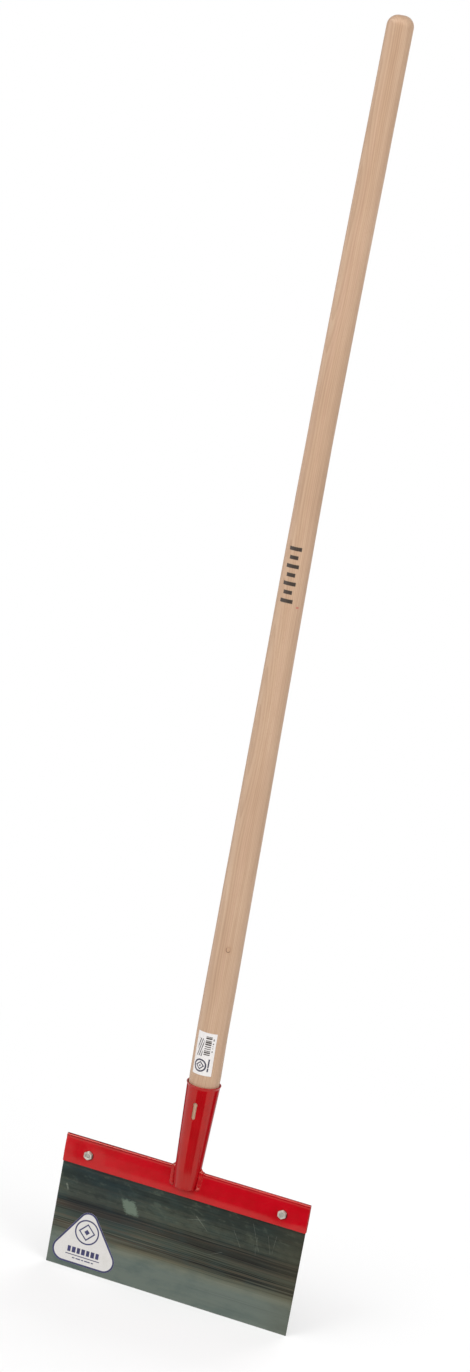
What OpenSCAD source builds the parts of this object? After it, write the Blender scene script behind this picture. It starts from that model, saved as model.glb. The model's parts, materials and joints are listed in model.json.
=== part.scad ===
// Long-handled floor scraper: a bolted-in steel blade, a folded sheet holder,
// a conical socket welded astride the holder, and a straight wooden handle.
// The origin is the middle of the cutting edge. +Z runs up the handle,
// +X along the blade, and the front, where the nuts are, faces -Y.

/* [Blade] */
// Width of the blade along its cutting edge
blade_w = 300; // [200:10:400]
// Height of the blade that shows below the holder
blade_shown = 125; // [100:1:130]
// Height of the blade that is inside the holder
blade_inside = 25; // [20:1:28]
// Thickness of the blade sheet
blade_t = 1.2; // [0.8:0.1:2]

/* [Holder] */
// Height of the folded holder
holder_h = 34; // [32:1:40]
// Thickness of the holder's sheet
holder_sheet = 1.5; // [1:0.1:2]
// How far the holder stands past each end of the blade
holder_over = 0.4; // [0:0.1:2]

/* [Bolts] */
// Distance of each bolt from the end of the blade
bolt_inset = 30; // [15:1:45]
// Height of the bolts above the holder's lower edge
bolt_rise = 15; // [8:1:18]
// Thread diameter of the bolts
bolt_d = 5; // [4:1:8]
// Width across flats of the bolt heads and nuts
hex_af = 8; // [7:0.5:13]
// Height of a bolt head
head_h = 3.5; // [3:0.5:5]
// Height of a nut
nut_h = 4; // [3:0.5:6]
// How far a bolt's end stands out of its nut
bolt_proud = 0.4; // [0:0.1:2]

/* [Socket] */
// Height of the socket's lower end above the holder's lower edge
socket_rise = 12; // [6:1:16]
// Length of the socket without its flared lip
socket_cone_h = 113; // [100:1:130]
// Outer diameter at the socket's lower end
socket_d_low = 28.8; // [26:0.2:32]
// Outer diameter where the lip begins
socket_d_high = 37.3; // [36:0.1:38]
// Height of the flared lip
lip_h = 12.5; // [8:0.5:16]
// Outer diameter of the lip's rim
lip_d = 40.1; // [39:0.1:42]
// Wall thickness of the socket
socket_wall = 1.5; // [1:0.1:2]
// Width of the fixing slot in the front of the socket
slot_w = 4.6; // [3:0.1:6]
// Length of the fixing slot from end to end
slot_len = 20.5; // [12:0.5:26]
// Diameter of the slot's round upper end
slot_head_d = 5.4; // [5:0.1:7]
// Depth of the slot's upper end below the rim
slot_drop = 19.5; // [16:0.5:30]

/* [Handle] */
// Length of the whole handle, with the end that is in the socket
handle_len = 1300; // [1000:10:1500]
// Diameter of the handle above the socket
handle_d_low = 35.8; // [35.4:0.1:36]
// Diameter of the grip
handle_d_grip = 29.5; // [26:0.5:32]
// Length of the straight stretch above the socket's rim
handle_low_h = 117; // [80:1:200]
// Length of the grip, with its rounded end
grip_h = 463; // [200:1:600]
// Radius that rounds the upper end of the grip
grip_round = 12; // [6:0.5:12.5]
// Gap between the holder's fold and the handle's lower end
handle_gap = 4; // [1:0.5:8]

/* [Handle screw] */
// Depth of the screw below the socket's rim
screw_drop = 30; // [20:1:40]
// Shank diameter
screw_d = 4; // [3:0.5:5]
// Length under the head
screw_len = 25; // [16:1:30]
// Head diameter
screw_head_d = 8; // [6:0.5:10]
// Head height
screw_head_h = 2.6; // [2:0.1:4]

/* [Welds] */
// Radius of a weld bead
bead_r = 3.4; // [2:0.1:4]

/* [Stickers] */
// Thickness of both stickers
sticker_t = 0.15; // [0.1:0.05:0.5]
// Distance between the lower corner centres of the blade sticker
sticker_base = 50; // [30:1:60]
// Height of the top corner centre above the lower ones
sticker_rise = 40; // [20:1:50]
// Radius of the blade sticker's lower corners
sticker_r = 14; // [8:1:16]
// Radius of the blade sticker's top corner
sticker_r_top = 12; // [6:1:16]
// Distance from the middle of the blade sticker to the blade's middle
sticker_offset = 106; // [60:1:108]
// Height of the blade sticker's lower edge above the cutting edge
sticker_low = 6; // [2:1:20]
// Width of the handle label, measured round the handle
label_w = 24; // [10:1:40]
// Height of the handle label
label_h = 50; // [20:1:60]
// Height of the label's lower edge above the socket's rim
label_rise = 14; // [5:1:50]

/* [Hidden] */
$fn = 72;
eps = 0.01;
glue = 0.03;            // film between a curved sticker and the handle
fit_gap = 0.05;         // radial gap between a thread and its nut
bolt_hole_gap = 0.4;    // extra diameter of the bolt holes
slot_play = 0.1;        // gap each side of the holder in the socket's slit
wedge_gap = 0.05;       // gap between the socket's bore and the handle's cone
reach = 400;            // longer than anything that a cut has to pass

holder_t = blade_t + 2 * holder_sheet;
holder_top = blade_shown + holder_h;
blade_h = blade_shown + blade_inside;
bolt_x = blade_w / 2 - bolt_inset;
bolt_z = blade_shown + bolt_rise;

socket_z0 = blade_shown + socket_rise;
lip_z = socket_z0 + socket_cone_h;
rim_z = lip_z + lip_h;
cone_slope = (socket_d_high - socket_d_low) / 2 / socket_cone_h;
cone_angle = atan(cone_slope);

function socket_r(z) = socket_d_low / 2 + cone_slope * (z - socket_z0);

handle_z0 = holder_top + handle_gap;
handle_top = handle_z0 + handle_len;
handle_r_low = handle_d_low / 2;
handle_r_grip = handle_d_grip / 2;
handle_r_end = socket_r(handle_z0) - socket_wall - wedge_gap;
wedge_top = handle_z0 + (handle_r_low - handle_r_end) / cone_slope;
straight_top = rim_z + handle_low_h;
grip_z = handle_top - grip_h;

screw_z = rim_z - screw_drop;
screw_seat = socket_r(screw_z + screw_head_d / 2);
screw_tip_h = 6;
screw_point_r = 0.2;
screw_hole_gap = 0.5;

slot_top = rim_z - slot_drop;
label_z = rim_z + label_rise;
label_angle = label_w / (PI * handle_d_low) * 360;

steel = [0.30, 0.34, 0.34];
red = [0.75, 0.04, 0.08];
zinc = [0.78, 0.78, 0.76];
wood = [0.82, 0.69, 0.57];
paper = [0.92, 0.91, 0.90];

// A cylinder along -Y that starts at y and has length h
module toward_front(y, h, r) {
    translate([0, y, 0]) rotate([90, 0, 0]) cylinder(h = h, r = r);
}

// The same along +Y
module toward_rear(y, h, r) {
    translate([0, y, 0]) rotate([-90, 0, 0]) cylinder(h = h, r = r);
}

// A hexagonal prism along -Y with its faces up and down, and cut corners
module hex_prism(y, h) {
    corner_r = hex_af / 2 / cos(30);
    bevel = corner_r - hex_af / 2;
    translate([0, y, 0]) rotate([90, 0, 0]) intersection() {
        rotate([0, 0, 30]) cylinder(h = h, r = corner_r, $fn = 6);
        union() {
            cylinder(h = h - bevel / 2, r = corner_r + eps);
            translate([0, 0, h - bevel / 2])
                cylinder(h = bevel / 2, r1 = corner_r + eps, r2 = hex_af / 2 + eps);
        }
    }
}

// The blade, with its two bolt holes
module blade() {
    color(steel) difference() {
        translate([-blade_w / 2, -blade_t / 2, 0]) cube([blade_w, blade_t, blade_h]);
        bolt_holes();
    }
}

module bolt_holes() {
    for (side = [-1, 1])
        translate([side * bolt_x, 0, bolt_z])
            toward_front(holder_t, 2 * holder_t, (bolt_d + bolt_hole_gap) / 2);
}

// Outline of a folded sheet: two flat legs and a round fold on top
module fold_outline(thickness, height) {
    translate([-thickness / 2, 0]) square([thickness, height - thickness / 2]);
    translate([0, height - thickness / 2]) circle(d = thickness);
}

// The holder as one block, without the space for the blade
module holder_block(extra) {
    length = blade_w + 2 * holder_over;
    translate([-length / 2, 0, blade_shown]) rotate([90, 0, 90])
        linear_extrude(length) fold_outline(holder_t + extra, holder_h + extra / 2);
}

module blade_holder() {
    length = blade_w + 2 * holder_over;
    color(red) difference() {
        holder_block(0);
        translate([-length / 2 - 1, 0, blade_shown - 1]) rotate([90, 0, 90])
            linear_extrude(length + 2) fold_outline(blade_t, holder_h - holder_sheet + 1);
        bolt_holes();
    }
}

// The outer shape of the socket, without its bore
module socket_outside() {
    translate([0, 0, socket_z0])
        cylinder(h = socket_cone_h, d1 = socket_d_low, d2 = socket_d_high);
    translate([0, 0, lip_z]) cylinder(h = lip_h, d1 = socket_d_high, d2 = lip_d);
}

module socket_bore() {
    start = socket_z0 - 1;
    cone_h = lip_z - start;
    translate([0, 0, start])
        cylinder(h = cone_h, r1 = socket_r(start) - socket_wall, r2 = socket_r(lip_z) - socket_wall);
    translate([0, 0, lip_z - eps])
        cylinder(h = lip_h + 2 * eps, d1 = socket_d_high - 2 * socket_wall,
                 d2 = lip_d - 2 * socket_wall);
}

// Slot through the front wall, with a wider round upper end
module fixing_slot() {
    depth = lip_d / 2;
    low = slot_top - slot_len + slot_w / 2;
    high = slot_top - slot_head_d / 2;
    translate([0, 0, low]) toward_front(0, depth, slot_w / 2);
    translate([0, 0, high]) toward_front(0, depth, slot_head_d / 2);
    translate([-slot_w / 2, -depth, low]) cube([slot_w, depth, high - low]);
}

module screw_hole(r) {
    translate([0, 0, screw_z]) toward_front(lip_d, lip_d, r);
}

module socket() {
    slit_t = holder_t + 2 * slot_play;
    color(red) difference() {
        socket_outside();
        socket_bore();
        translate([-reach / 2, -slit_t / 2, socket_z0 - 1])
            cube([reach, slit_t, holder_top + slot_play - socket_z0 + 1]);
        fixing_slot();
        screw_hole((screw_d + screw_hole_gap) / 2);
    }
}

// Half of the handle's outline: a cone that wedges in the socket, a straight
// foot, a long taper, and a straight grip with a rounded end
module handle_outline() {
    flat_r = handle_r_grip - grip_round;
    round_z = handle_top - grip_round;
    polygon([
        [0, handle_z0],
        [handle_r_end, handle_z0],
        [handle_r_low, wedge_top],
        [handle_r_low, straight_top],
        [handle_r_grip, grip_z],
        [handle_r_grip, round_z],
        [0, round_z]
    ]);
    translate([0, round_z - eps]) square([flat_r, grip_round + eps]);
    intersection() {
        translate([flat_r, round_z]) circle(r = grip_round);
        translate([flat_r - eps, round_z - eps]) square(grip_round + 2 * eps);
    }
}

module handle() {
    color(wood) difference() {
        rotate_extrude() handle_outline();
        translate([0, 0, screw_z]) toward_rear(screw_seat - screw_len, reach, screw_d / 2);
    }
}

// Round-head wood screw driven in from behind
module handle_screw() {
    head_r = screw_head_d / 2;
    ball_r = (head_r * head_r + screw_head_h * screw_head_h) / (2 * screw_head_h);
    recess_w = 1.2;
    recess_depth = 1.3;
    shank_h = screw_len - screw_tip_h;
    color(zinc) translate([0, screw_seat, screw_z]) {
        toward_front(0, shank_h, screw_d / 2);
        translate([0, -shank_h, 0]) rotate([90, 0, 0])
            cylinder(h = screw_tip_h, r1 = screw_d / 2, r2 = screw_point_r);
        difference() {
            intersection() {
                translate([0, screw_head_h - ball_r, 0]) sphere(r = ball_r);
                toward_rear(0, screw_head_h, head_r);
            }
            for (turn = [0, 90])
                translate([0, screw_head_h, 0]) rotate([0, turn, 0])
                    cube([recess_w, 2 * recess_depth, head_r], center = true);
        }
    }
}

// One weld bead in the corner between the socket and the holder.
// face is -1 for the front and 1 for the rear.
module weld_right(face) {
    low = socket_z0 + bead_r + 0.5;
    high = holder_top - 0.5;
    bead_x = socket_r(low) + 1;
    bead_y = holder_t / 2 + 0.6;
    color(red) difference() {
        intersection() {
            translate([bead_x, face * bead_y, low]) rotate([0, cone_angle, 0]) {
                cylinder(h = high - low, r = bead_r);
                sphere(r = bead_r);
                translate([0, 0, high - low]) sphere(r = bead_r);
            }
            translate([-reach / 2, face > 0 ? 0 : -reach, 0]) cube([reach, reach, reach]);
        }
        socket_outside();
        holder_block(0);
    }
}

module weld_left(face) { mirror([1, 0, 0]) weld_right(face); }

module weld_front_left() { weld_left(-1); }
module weld_front_right() { weld_right(-1); }
module weld_rear_left() { weld_left(1); }
module weld_rear_right() { weld_right(1); }

// Hex bolt through the holder and blade, with its head at the rear
module bolt(side) {
    shank = holder_t + nut_h + bolt_proud;
    color(zinc) translate([side * bolt_x, 0, bolt_z]) {
        toward_front(holder_t / 2, shank, bolt_d / 2);
        rotate([0, 0, 180]) hex_prism(-holder_t / 2, head_h);
    }
}

module bolt_left() { bolt(-1); }
module bolt_right() { bolt(1); }

module nut(side) {
    color(zinc) translate([side * bolt_x, 0, bolt_z]) difference() {
        hex_prism(-holder_t / 2, nut_h);
        toward_front(0, holder_t + 2 * nut_h, bolt_d / 2 + fit_gap);
    }
}

module nut_left() { nut(-1); }
module nut_right() { nut(1); }

// Rounded triangle on the front of the blade, near its left end
module blade_sticker() {
    corners = [
        [-sticker_base / 2, sticker_low + sticker_r, sticker_r],
        [sticker_base / 2, sticker_low + sticker_r, sticker_r],
        [0, sticker_low + sticker_r + sticker_rise, sticker_r_top]
    ];
    color(paper) translate([-sticker_offset, -blade_t / 2, 0]) rotate([90, 0, 0])
        linear_extrude(sticker_t) hull()
            for (c = corners) translate([c[0], c[1]]) circle(r = c[2]);
}

// Paper label wrapped round the front of the handle
module handle_label() {
    color(paper) translate([0, 0, label_z]) rotate([0, 0, -90 - label_angle / 2])
        rotate_extrude(angle = label_angle)
            translate([handle_r_low + glue, 0]) square([sticker_t, label_h]);
}

handle();
socket();
blade_holder();
blade();
weld_front_left();
weld_front_right();
weld_rear_left();
weld_rear_right();
bolt_left();
bolt_right();
nut_left();
nut_right();
handle_screw();
blade_sticker();
handle_label();
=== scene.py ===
"""The looks of a long-handled floor scraper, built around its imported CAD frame.

The origin is the middle of the cutting edge. +Z runs up the handle, +X along
the blade, and the front, where the nuts and the stickers are, faces -Y.
Lengths are in metres; MM turns millimetres into them.
"""

import json
import math
import random

import bmesh
import bpy
from mathutils import Matrix, Vector, noise


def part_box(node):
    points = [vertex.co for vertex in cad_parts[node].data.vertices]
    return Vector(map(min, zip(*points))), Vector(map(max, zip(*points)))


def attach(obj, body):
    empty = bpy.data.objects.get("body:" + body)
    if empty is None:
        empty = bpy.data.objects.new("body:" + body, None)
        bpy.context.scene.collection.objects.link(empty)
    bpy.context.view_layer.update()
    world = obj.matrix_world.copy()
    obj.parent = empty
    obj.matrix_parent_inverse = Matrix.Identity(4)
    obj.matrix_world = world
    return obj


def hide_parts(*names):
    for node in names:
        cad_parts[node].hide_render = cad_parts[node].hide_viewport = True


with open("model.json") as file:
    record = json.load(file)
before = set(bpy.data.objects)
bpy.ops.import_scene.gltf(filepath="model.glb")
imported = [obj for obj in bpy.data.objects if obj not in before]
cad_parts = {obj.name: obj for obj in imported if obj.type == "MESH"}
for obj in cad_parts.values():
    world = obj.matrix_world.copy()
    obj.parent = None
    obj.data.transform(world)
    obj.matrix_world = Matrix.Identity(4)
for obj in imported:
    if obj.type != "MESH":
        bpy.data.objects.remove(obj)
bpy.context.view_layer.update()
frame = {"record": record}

MM = 0.001

# ---- places
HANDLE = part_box("handle")
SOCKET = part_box("socket")
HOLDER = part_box("blade_holder")
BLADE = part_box("blade")
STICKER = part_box("blade_sticker")
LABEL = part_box("handle_label")
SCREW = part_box("handle_screw")
NUTS = {side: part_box("nut_" + side) for side in ("left", "right")}
BOLTS = {side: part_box("bolt_" + side) for side in ("left", "right")}
GRIP = next(m for m in frame["record"]["mounts"] if m["name"] == "handle_grip")

# Socket: a cone with a flared lip, slit at both sides for the holder
SOCKET_WALL = 1.5 * MM
SOCKET_R_LOW = 14.4 * MM
SOCKET_SLOPE = 4.25 / 113
RIM_R = SOCKET[1].x
RIM_Z = SOCKET[1].z
LIP_H = 3.6 * MM
SOCKET_Z = SOCKET[0].z
SOCKET_EDGE = 0.45 * MM
SOCKET_SCALE = (SOCKET_R_LOW + RIM_R) / 2
SLIT_HALF = 2.2 * MM
SLIT_Z = HOLDER[1].z + 0.1 * MM
SLOT_R = 2.3 * MM
SLOT_HEAD_R = 2.7 * MM
SLOT_TOP = RIM_Z - 19.5 * MM
SLOT_LEN = 20.5 * MM
SCREW_Z = (SCREW[0].z + SCREW[1].z) / 2
SCREW_HOLE_R = 2.25 * MM

# Handle: a wedge in the socket, a straight foot, a long taper, a grip
HANDLE_R = HANDLE[1].x
GRIP_R = GRIP["dims"]["r_mm"] * MM
GRIP_HALF = GRIP["dims"]["length_mm"] * MM / 2
GRIP_Z = GRIP["pos_m"][2] - GRIP_HALF
GRIP_TOP = GRIP["pos_m"][2] + GRIP_HALF
HANDLE_TOP = HANDLE[1].z
HANDLE_Z = HANDLE[0].z
HANDLE_SIDES = 80
WEDGE_GAP = 0.05 * MM
FOOT_TOP = RIM_Z + 117 * MM
BEND_Z = 1010 * MM
BEND_SOFT = 55 * MM
BEND_FALL = 0.0047
BEND_BACK = 0.0153
BEND_STEP = 0.9 * MM

# Marks on the handle: printed bars, a knot and a speck of paint
PRINT_Z = 855 * MM
PRINT_LEN = 68 * MM
PRINT_BARS = 7
PRINT_W = 14.5 * MM
PRINT_R = 15.2 * MM
KNOT = (4.6 * MM, 426 * MM)
SPECK = (12.2 * MM, 820 * MM)

# Holder and blade
BLADE_HALF_T = BLADE[1].y
HOLDER_HALF_T = HOLDER[1].y
SHEET = HOLDER_HALF_T - BLADE_HALF_T
HOLDER_Z = HOLDER[0].z
HOLDER_TOP = HOLDER[1].z
HOLDER_END = HOLDER[1].x
HOLDER_EDGE = 0.35 * MM
FOLD_BULB = 0.6 * MM
BLADE_END = BLADE[1].x
BLADE_TOP = BLADE[1].z
BLADE_EDGE = 0.2 * MM

# Fasteners
BOLT_R = 2.5 * MM
BOLT_PITCH = 0.8 * MM
BOLT_THREAD = 0.4 * MM
THREAD_STEP = 0.12 * MM
HOLE_R = 2.7 * MM
BOLT_CENTRES = [(low + high) / 2 for low, high in NUTS.values()]
HEX_SIDES = 96
HEX_BEVEL = math.tan(math.radians(30))
SCREW_R = 2 * MM
SCREW_PITCH = 1.6 * MM
SCREW_THREAD = 0.45 * MM
SCREW_HEAD_R = 4.0 * MM
SCREW_HEAD_H = 2.6 * MM
SCREW_SIDES = 64

# Stickers
STICKER_X = (STICKER[0].x + STICKER[1].x) / 2
STICKER_R = 14 * MM
STICKER_TOP_R = 12 * MM
STICKER_T = STICKER[1].y - STICKER[0].y
LABEL_W = 24 * MM
LABEL_T = 0.12 * MM
LABEL_COLUMNS = 40

# Camera: azimuth from the front towards +X
CAMERA_AZIMUTH = math.radians(18.17)
CAMERA_ELEVATION = math.radians(11.48)
CAMERA_ROLL = math.radians(10.35)
CAMERA_DISTANCE = 3.5
CAMERA_AIM = Vector((-0.0487, 0, 0.7165))
CAMERA_LENS = 82.92
CAMERA_SENSOR = 36
BACKDROP = 1.0
FLOOR_R = 30


# ---- small maths
def smooth(low, high, x):
    """0 below low, 1 above high, and a smooth step between."""
    t = min(1, max(0, (x - low) / (high - low)))
    return t * t * (3 - 2 * t)


def spread(low, high, step):
    """Evenly spaced values from low to high, about step apart."""
    count = max(1, round((high - low) / step))
    return [low + (high - low) * i / count for i in range(count + 1)]


def angles(first, last, count):
    """Evenly spaced angles in radians, from first to last in degrees."""
    return [math.radians(first + (last - first) * i / (count - 1)) for i in range(count)]


def full_turn(sides):
    """Angles of equal steps once round."""
    return [2 * math.pi * i / sides for i in range(sides)]


def curve(x, points):
    """Piecewise linear value at x through (x, value) points."""
    for (x0, y0), (x1, y1) in zip(points, points[1:]):
        if x <= x1:
            return y0 + (y1 - y0) * max(0, x - x0) / (x1 - x0)
    return points[-1][1]


def wander(x, y, z, seed=0):
    """Smooth noise about -1 to 1."""
    return noise.noise(Vector((x + 17.3 * seed, y - 5.1 * seed, z + 9.7 * seed)))


# ---- meshes
def new_object(name, mesh):
    """A linked object made from a bmesh."""
    data = bpy.data.meshes.new(name)
    mesh.to_mesh(data)
    mesh.free()
    made = bpy.data.objects.new(name, data)
    bpy.context.scene.collection.objects.link(made)
    return made


def add_piece(name, mesh, material, node, crease=40, normals=None):
    """Makes a piece from a bmesh: sharp edges by angle, material, body, replaced node."""
    bmesh.ops.recalc_face_normals(mesh, faces=mesh.faces)
    limit = math.radians(crease)
    for edge in mesh.edges:
        edge.smooth = len(edge.link_faces) == 2 and edge.calc_face_angle() < limit
    for face in mesh.faces:
        face.smooth = True
    piece = new_object(name, mesh)
    if normals:
        piece.data.normals_split_custom_set_from_vertices(normals)
    piece.data.materials.append(material)
    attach(piece, "root")
    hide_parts(node)


def skin(mesh, rows):
    """Faces between rows of vertices, each row closed on itself."""
    for low, high in zip(rows, rows[1:]):
        for i in range(len(low)):
            mesh.faces.new((low[i - 1], low[i], high[i], high[i - 1]))


def from_rings(rings, tube=False):
    """A closed bmesh through rings of equal length: a tube, or with a face over each end."""
    mesh = bmesh.new()
    rows = [[mesh.verts.new(p) for p in ring] for ring in rings]
    if tube:
        rows.append(rows[0])
    else:
        mesh.faces.new(rows[0])
        mesh.faces.new(rows[-1])
    skin(mesh, rows)
    return mesh


def taken(body, *helpers):
    """The bmesh that an object's modifiers make of it; it and its helpers are removed."""
    mesh = bmesh.new()
    mesh.from_object(body, bpy.context.evaluated_depsgraph_get())
    for spent in (body, *helpers):
        data = spent.data
        bpy.data.objects.remove(spent)
        bpy.data.meshes.remove(data)
    return mesh


def cut(mesh, tools):
    """The bmesh with each closed tool bmesh taken out of it."""
    body = new_object("cut_body", mesh)
    cutters = []
    for tool in tools:
        bmesh.ops.recalc_face_normals(tool, faces=tool.faces)
        cutters.append(new_object("cut_tool", tool))
        modifier = body.modifiers.new("cut", "BOOLEAN")
        modifier.object = cutters[-1]
        modifier.operation = "DIFFERENCE"
        modifier.solver = "MANIFOLD"
    return taken(body, *cutters)


# ---- node trees
class Value:
    """A number in a node tree, which can be added, taken off and multiplied."""

    def __init__(self, nodes, socket):
        self.nodes = nodes
        self.socket = socket

    def __add__(self, other):
        return self.nodes.math("ADD", self, other)

    def __sub__(self, other):
        return self.nodes.math("SUBTRACT", self, other)

    def __rsub__(self, other):
        return self.nodes.math("SUBTRACT", other, self)

    def __mul__(self, other):
        return self.nodes.math("MULTIPLY", self, other)

    __radd__ = __add__
    __rmul__ = __mul__


class Nodes:
    """A node tree, with short calls for its nodes."""

    def __init__(self, tree):
        self.tree = tree
        tree.nodes.clear()

    def plug(self, socket, value):
        if isinstance(value, Value):
            value = value.socket
        if isinstance(value, bpy.types.NodeSocket):
            self.tree.links.new(value, socket)
        else:
            socket.default_value = value

    def add(self, kind, *inputs, **settings):
        """A node with these settings, and these values or links in its first sockets."""
        node = self.tree.nodes.new(kind)
        for key, value in settings.items():
            setattr(node, key, value)
        for socket, value in zip(node.inputs, inputs):
            self.plug(socket, value)
        return node

    def axes(self, vector):
        return [Value(self, axis) for axis in self.add("ShaderNodeSeparateXYZ", vector).outputs]

    def math(self, operation, *values):
        node = self.add("ShaderNodeMath", *values, operation=operation)
        return Value(self, node.outputs[0])

    def any(self, first, *others):
        for other in others:
            first = self.math("MAXIMUM", first, other)
        return first

    def reach(self, u, v):
        """How far (u, v) is from (0, 0)."""
        return self.math("SQRT", u * u + v * v)

    def span(self, value, low, high, to_low=0.0, to_high=1.0, kind="SMOOTHSTEP"):
        """Maps low..high to to_low..to_high, and stays inside it."""
        node = self.add(
            "ShaderNodeMapRange", value, low, high, to_low, to_high, interpolation_type=kind
        )
        return Value(self, node.outputs[0])

    def band(self, value, centre, width, soft):
        """1 where value is within width/2 of centre, with a soft edge."""
        away = self.math("ABSOLUTE", value - centre)
        return self.span(away, width / 2 - soft, width / 2 + soft, 1.0, 0.0)

    def box(self, u, v, centre_u, centre_v, width_u, width_v, soft):
        return self.band(u, centre_u, width_u, soft) * self.band(v, centre_v, width_v, soft)


class Shader(Nodes):
    """One material's node tree, which works from the place in the shared frame."""

    def __init__(self, name, **settings):
        self.material = bpy.data.materials.new(name)
        self.material.use_nodes = True
        super().__init__(self.material.node_tree)
        self.surface = self.add("ShaderNodeBsdfPrincipled")
        self.output = self.add("ShaderNodeOutputMaterial", self.surface.outputs["BSDF"])
        self.x, self.y, self.z = self.axes(self.add("ShaderNodeTexCoord").outputs["Object"])
        for key, value in settings.items():
            self.set(key.replace("_", " "), value)

    def set(self, key, value):
        self.plug(self.surface.inputs[key], value)

    def vector(self, x, y, z):
        return self.add("ShaderNodeCombineXYZ", x, y, z).outputs[0]

    def texture(self, kind, scale):
        """A texture at the place, scaled alike or by axis, or at a vector socket."""
        if isinstance(scale, int):
            scale = (scale, scale, scale)
        if isinstance(scale, tuple):
            axes = zip((self.x, self.y, self.z), scale)
            scale = self.vector(*[axis * times for axis, times in axes])
        node = self.add(kind, scale)
        node.inputs["Scale"].default_value = 1
        return node

    def noise(self, scale, detail=2.0, rough=0.5):
        node = self.texture("ShaderNodeTexNoise", scale)
        node.inputs["Detail"].default_value = detail
        node.inputs["Roughness"].default_value = rough
        return Value(self, node.outputs["Fac"])

    def cells(self, scale):
        node = self.texture("ShaderNodeTexVoronoi", scale)
        return Value(self, node.outputs["Distance"])

    def dice(self, value):
        """A random number from 0 to 1 for each value."""
        node = self.add("ShaderNodeTexWhiteNoise", noise_dimensions="1D")
        self.plug(node.inputs["W"], value)
        return Value(self, node.outputs["Value"])

    def mix(self, factor, first, second):
        node = self.add("ShaderNodeMix", factor, data_type="RGBA")
        self.plug(node.inputs[6], first)
        self.plug(node.inputs[7], second)
        return node.outputs[2]

    def ramp(self, value, stops):
        node = self.add("ShaderNodeValToRGB", value)
        elements = node.color_ramp.elements
        while len(elements) < len(stops):
            elements.new(0.5)
        for element, (place, colour) in zip(elements, stops):
            element.position = place
            element.color = colour
        return node.outputs[0]

    def diamond(self, u, v):
        """How far (u, v) is from (0, 0) along the two axes."""
        return self.math("ABSOLUTE", u) + self.math("ABSOLUTE", v)

    def stroke(self, start, end, width, soft):
        """1 near the straight line from start to end in (x, z)."""
        length = math.dist(start, end)
        across = (end[0] - start[0]) / length
        up = (end[1] - start[1]) / length
        du = self.x - start[0]
        dv = self.z - start[1]
        along = self.band(du * across + dv * up, length / 2, length, 4 * soft)
        return along * self.band(dv * across - du * up, 0.0, width, soft)

    def paint(self, share, *tone):
        """Lays a screen tone over the colour so far, all of it where share is 1."""
        self.colour = self.mix(share, self.colour, rgb(*tone))

    def finished(self, rough, relief, distance, strength):
        """The material, with a bump where relief, from 0 to 1, stands distance high."""
        bump = self.add("ShaderNodeBump")
        bump.inputs["Strength"].default_value = strength
        bump.inputs["Distance"].default_value = distance
        self.plug(bump.inputs["Height"], relief)
        self.set("Base Color", self.colour)
        self.set("Roughness", rough)
        self.set("Normal", bump.outputs[0])
        return self.material


def rgb(red, green, blue):
    """A linear colour from screen values 0 to 255."""
    def linear(value):
        value = value / 255
        return value / 12.92 if value <= 0.04045 else ((value + 0.055) / 1.055) ** 2.4
    return (linear(red), linear(green), linear(blue), 1.0)


# ---- wood
def handle_shift(z):
    """How far the handle's natural bow moves its centre along X at height z."""
    if z <= RIM_Z:
        return 0.0
    turn = BEND_SOFT * math.log1p(math.exp((z - BEND_Z) / BEND_SOFT))
    lean = BEND_STEP * smooth(RIM_Z, RIM_Z + 70 * MM, z)
    return BEND_BACK * turn - BEND_FALL * (z - RIM_Z) - lean


def handle_angle(s, z):
    """Angle from the front round the handle's centre at height z."""
    return s.math("ARCTAN2", s.x - handle_shift(z), s.y * -1)


def paint_knot(s, front):
    """A small knot with a dark rim at its lower left."""
    away_x = s.x - KNOT[0]
    away_z = (s.z - KNOT[1]) * 0.8
    away = s.reach(away_x, away_z)
    ring = s.band(away, 2.3 * MM, 0.7 * MM, 0.3 * MM) * front
    lower = s.span(away_x * 0.6 + away_z, -0.4 * MM, 0.6 * MM, 1.0, 0.25)
    halo = s.span(away, 1.5 * MM, 6 * MM, 0.30, 0.0) * front
    s.paint(halo, 170, 128, 96)
    s.paint(ring * lower * 0.85, 96, 68, 48)


def paint_speck(s, front):
    """A speck of red paint."""
    away = s.reach(s.x - (SPECK[0] + handle_shift(SPECK[1])), s.z - SPECK[1])
    speck = s.span(away, 0.8 * MM, 1.6 * MM, 1.0, 0.0) * front
    s.paint(speck * 0.65, 176, 66, 58)


def printed_bars(s, fibre):
    """Where a row of bars is printed up the handle, long and short by turns."""
    count = (s.z - (PRINT_Z - PRINT_LEN / 2)) * (PRINT_BARS / PRINT_LEN)
    ragged = (s.noise(2600, 2) - 0.5) * 0.10
    in_bar = s.band(s.math("FRACT", count) + ragged, 0.5, 0.44, 0.02)
    odd = s.math("MODULO", s.math("FLOOR", count), 2.0)
    half_w = PRINT_W / 2 + odd * (-PRINT_W * 0.16)
    aside = s.math("ABSOLUTE", handle_angle(s, PRINT_Z) * PRINT_R)
    in_row = s.math("GREATER_THAN", count, 0.0) * s.math("LESS_THAN", count, PRINT_BARS)
    in_row = in_row * s.span(half_w - aside, -0.15 * MM, 0.15 * MM)
    return in_bar * in_row * s.span(fibre, 0.22, 0.40, 0.55, 1.0)


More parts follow.
